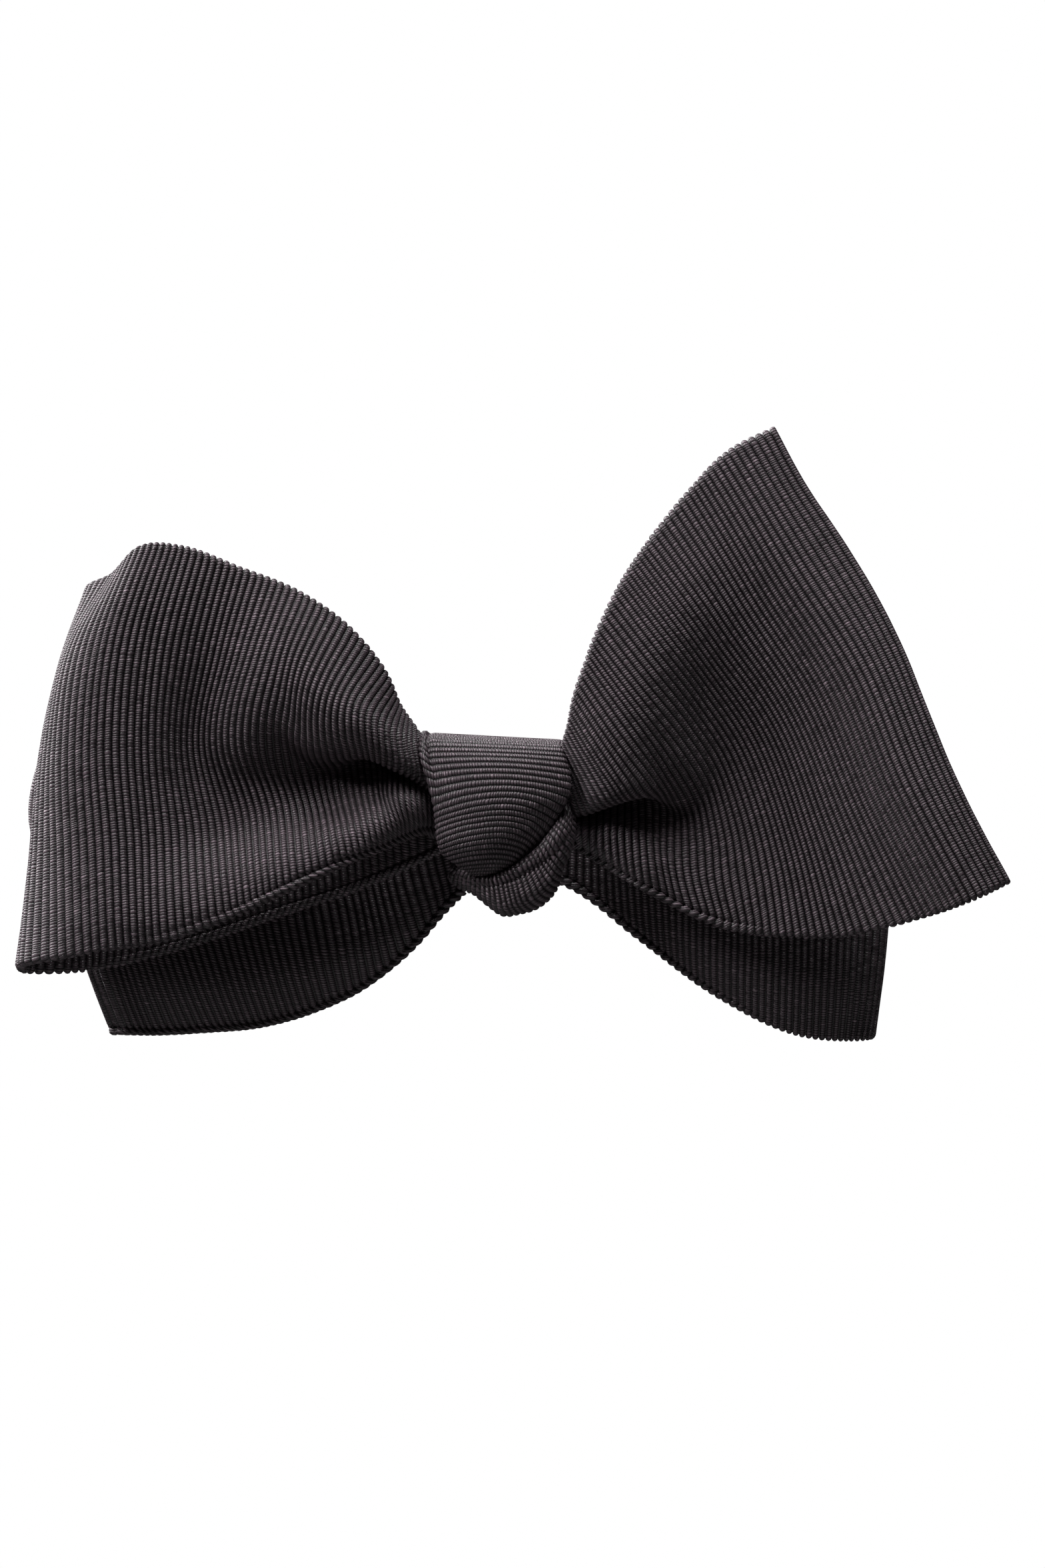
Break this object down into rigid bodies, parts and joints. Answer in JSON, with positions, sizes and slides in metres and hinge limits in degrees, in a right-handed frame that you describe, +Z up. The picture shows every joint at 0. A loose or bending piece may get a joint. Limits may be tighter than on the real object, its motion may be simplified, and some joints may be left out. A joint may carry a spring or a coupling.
{
  "type": "butterfly bow tie",
  "caption": "Hand-tied butterfly bow tie in ribbed silk: two overlapping bows, each a folded loop and a flat blade end, a wrapped knot, and a closed neckband.",
  "frame": {"origin": "inner face of the neckband right behind the knot, half way up the band, where the band seats on the collar", "axes": "+Z up as worn, -Y towards the front of the bow, +X to the right as seen from the front"},
  "size_m": [0.1237, 0.1641, 0.0768],
  "materials": {
    "ribbed_silk_front": "ribbed weave, dull sheen",
    "ribbed_silk_rear": "ribbed weave, dull sheen",
    "ribbed_silk_knot": "ribbed weave, dull sheen",
    "ribbed_silk_band": "ribbed weave, dull sheen"
  },
  "bodies": {
    "root": {"front_loop": "ribbed_silk_front", "front_blade": "ribbed_silk_front", "rear_loop": "ribbed_silk_rear", "rear_blade": "ribbed_silk_rear", "knot_wrap": "ribbed_silk_knot", "knot_crossing": "ribbed_silk_knot", "neckband": "ribbed_silk_band"}
  },
  "joints": []
}
